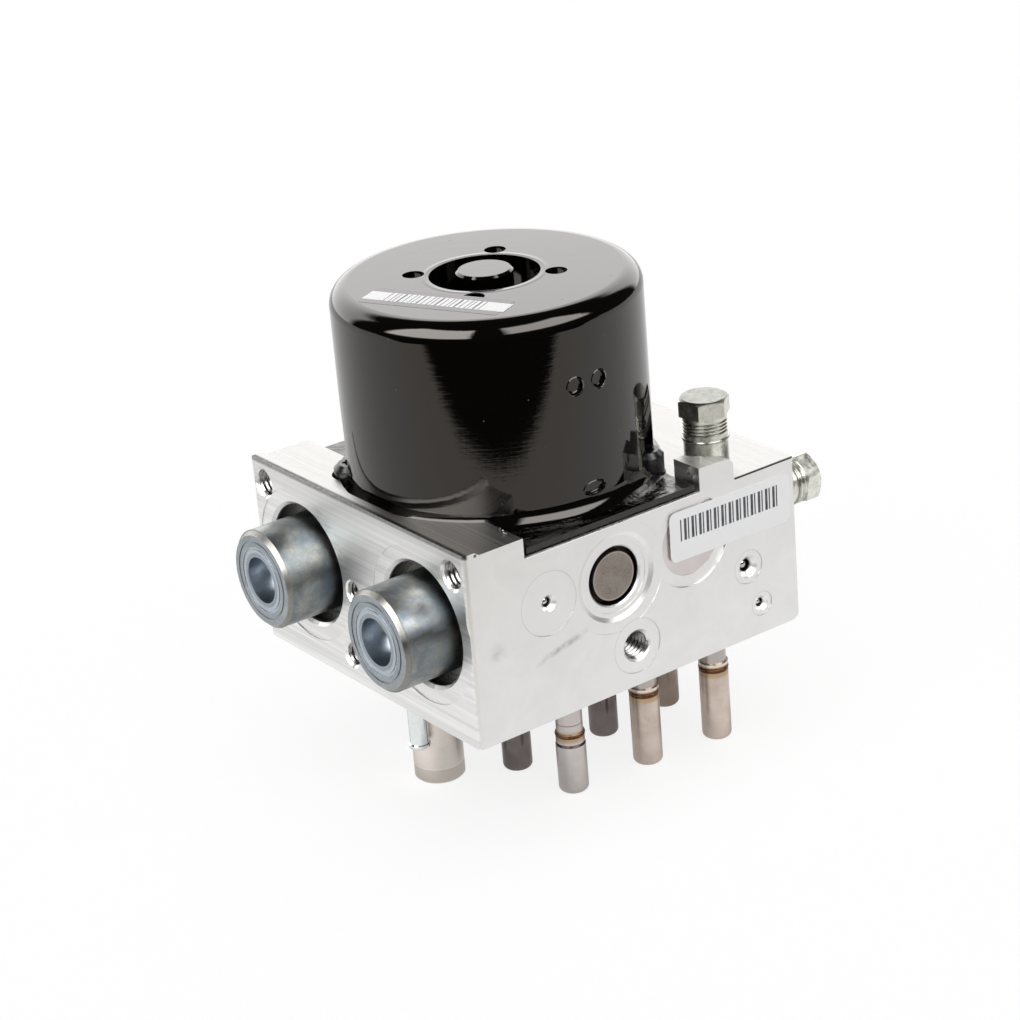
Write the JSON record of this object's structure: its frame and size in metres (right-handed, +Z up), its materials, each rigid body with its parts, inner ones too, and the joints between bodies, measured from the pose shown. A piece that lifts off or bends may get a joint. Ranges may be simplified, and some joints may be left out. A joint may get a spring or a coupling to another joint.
{
  "type": "abs brake module",
  "caption": "Brake hydraulic unit: a gloss black motor on a machined valve block, with accumulator cups, port plugs and valve domes below.",
  "frame": {"origin": "on the motor's axis, in the valve block's lower face", "axes": "+X to the right along the front face, +Y away from it, +Z up towards the motor"},
  "size_m": [0.1242, 0.0906, 0.1264],
  "materials": {
    "block_aluminium": "extruded bar, milled faces",
    "gloss_black_steel": "gloss black paint on deep-drawn steel",
    "black_steel": "black coated",
    "magnet": "sintered ferrite",
    "bronze": "sintered",
    "bearing_steel": "ground",
    "black_plastic": "moulded",
    "carbon": "pressed carbon",
    "spring_steel": "drawn wire",
    "copper": "drawn copper",
    "zinc_tube": "bright zinc plated",
    "turned_steel": "turned",
    "core_steel": "stacked sheet",
    "brown_steel": "dark phosphated",
    "damper_steel": "bright pressed",
    "blue_zinc": "blue passivated zinc",
    "piston_aluminium": "turned",
    "seal_rubber": "moulded",
    "olive_zinc": "yellow passivated zinc",
    "sensor_steel": "drawn stainless steel",
    "dome_steel": "drawn stainless steel, welded"
  },
  "bodies": {
    "hydraulic_unit": {"valve_block": "block_aluminium", "motor_can": "gloss_black_steel", "motor_screws": "black_steel", "motor_magnets": "magnet", "upper_bush": "bronze", "bearing_outer_ring": "bearing_steel", "bearing_balls": "bearing_steel", "brush_plate": "black_plastic", "brushes": "carbon", "brush_springs": "spring_steel", "motor_lead_pins": "copper", "motor_lead_tube": "zinc_tube", "pump_cylinder_front": "turned_steel", "pump_cylinder_rear": "turned_steel", "pump_spring_front": "spring_steel", "pump_spring_rear": "spring_steel", "pump_plug_front": "brown_steel", "pump_plug_rear": "brown_steel", "damper_plug": "damper_steel", "ball_plugs": "turned_steel", "accumulator_cup_front": "blue_zinc", "accumulator_cup_rear": "blue_zinc", "accumulator_spring_front": "spring_steel", "accumulator_spring_rear": "spring_steel", "accumulator_retaining_rings": "spring_steel", "port_plug_top": "olive_zinc", "port_plug_side": "olive_zinc", "port_plug_rings": "olive_zinc", "pressure_sensor": "sensor_steel", "valve_dome_1": "dome_steel", "valve_dome_2": "dome_steel", "valve_dome_3": "dome_steel", "valve_dome_4": "dome_steel", "valve_dome_5": "dome_steel", "valve_dome_6": "dome_steel", "valve_dome_7": "dome_steel", "valve_dome_8": "dome_steel", "valve_seats": "turned_steel", "valve_springs": "spring_steel"},
    "rotor": {"motor_shaft": "turned_steel", "armature_core": "core_steel", "armature_windings": "copper", "commutator": "copper", "bearing_inner_ring": "bearing_steel", "eccentric_ring": "bearing_steel", "eccentric_needles": "bearing_steel"},
    "pump_piston_front": {"pump_piston_front": "turned_steel"},
    "pump_piston_rear": {"pump_piston_rear": "turned_steel"},
    "accumulator_piston_front": {"accumulator_piston_front": "piston_aluminium", "accumulator_seal_front": "seal_rubber"},
    "accumulator_piston_rear": {"accumulator_piston_rear": "piston_aluminium", "accumulator_seal_rear": "seal_rubber"},
    "valve_armature_1": {"valve_armature_1": "turned_steel"},
    "valve_armature_2": {"valve_armature_2": "turned_steel"},
    "valve_armature_3": {"valve_armature_3": "turned_steel"},
    "valve_armature_4": {"valve_armature_4": "turned_steel"},
    "valve_armature_5": {"valve_armature_5": "turned_steel"},
    "valve_armature_6": {"valve_armature_6": "turned_steel"},
    "valve_armature_7": {"valve_armature_7": "turned_steel"},
    "valve_armature_8": {"valve_armature_8": "turned_steel"}
  },
  "joints": [
    {"name": "rotor_spin", "type": "hinge", "parent": "hydraulic_unit", "child": "rotor", "pos_m": [0, 0, 0.05], "axis": [0, 0, 1], "continuous": true},
    {"name": "pump_front_slide", "type": "slide", "parent": "hydraulic_unit", "child": "pump_piston_front", "axis": [0, 1, 0], "range_m": [-0.0009, 0.0009], "deforming": ["pump_spring_front"]},
    {"name": "pump_rear_slide", "type": "slide", "parent": "hydraulic_unit", "child": "pump_piston_rear", "axis": [0, 1, 0], "range_m": [-0.0009, 0.0009], "deforming": ["pump_spring_rear"]},
    {"name": "accumulator_front_slide", "type": "slide", "parent": "hydraulic_unit", "child": "accumulator_piston_front", "axis": [-1, 0, 0], "range_m": [0, 0.004], "stiffness_N_per_m": 300, "springref_m": -0.01, "deforming": ["accumulator_spring_front"]},
    {"name": "accumulator_rear_slide", "type": "slide", "parent": "hydraulic_unit", "child": "accumulator_piston_rear", "axis": [-1, 0, 0], "range_m": [0, 0.004], "stiffness_N_per_m": 300, "springref_m": -0.01, "deforming": ["accumulator_spring_rear"]},
    {"name": "valve_1_slide", "type": "slide", "parent": "hydraulic_unit", "child": "valve_armature_1", "axis": [0, 0, 1], "range_m": [0, 0.0004], "stiffness_N_per_m": 200, "springref_m": -0.003},
    {"name": "valve_2_slide", "type": "slide", "parent": "hydraulic_unit", "child": "valve_armature_2", "axis": [0, 0, 1], "range_m": [0, 0.0004], "stiffness_N_per_m": 200, "springref_m": -0.003},
    {"name": "valve_3_slide", "type": "slide", "parent": "hydraulic_unit", "child": "valve_armature_3", "axis": [0, 0, 1], "range_m": [0, 0.0004], "stiffness_N_per_m": 200, "springref_m": -0.003},
    {"name": "valve_4_slide", "type": "slide", "parent": "hydraulic_unit", "child": "valve_armature_4", "axis": [0, 0, 1], "range_m": [0, 0.0004], "stiffness_N_per_m": 200, "springref_m": -0.003},
    {"name": "valve_5_slide", "type": "slide", "parent": "hydraulic_unit", "child": "valve_armature_5", "axis": [0, 0, 1], "range_m": [0, 0.0004], "stiffness_N_per_m": 200, "springref_m": -0.003},
    {"name": "valve_6_slide", "type": "slide", "parent": "hydraulic_unit", "child": "valve_armature_6", "axis": [0, 0, 1], "range_m": [0, 0.0004], "stiffness_N_per_m": 200, "springref_m": -0.003},
    {"name": "valve_7_slide", "type": "slide", "parent": "hydraulic_unit", "child": "valve_armature_7", "axis": [0, 0, 1], "range_m": [0, 0.0004], "stiffness_N_per_m": 200, "springref_m": -0.003},
    {"name": "valve_8_slide", "type": "slide", "parent": "hydraulic_unit", "child": "valve_armature_8", "axis": [0, 0, 1], "range_m": [0, 0.0004], "stiffness_N_per_m": 200, "springref_m": -0.003}
  ],
  "couplings": [
    {"joint": "pump_rear_slide", "follows": "pump_front_slide", "ratio": 1}
  ]
}
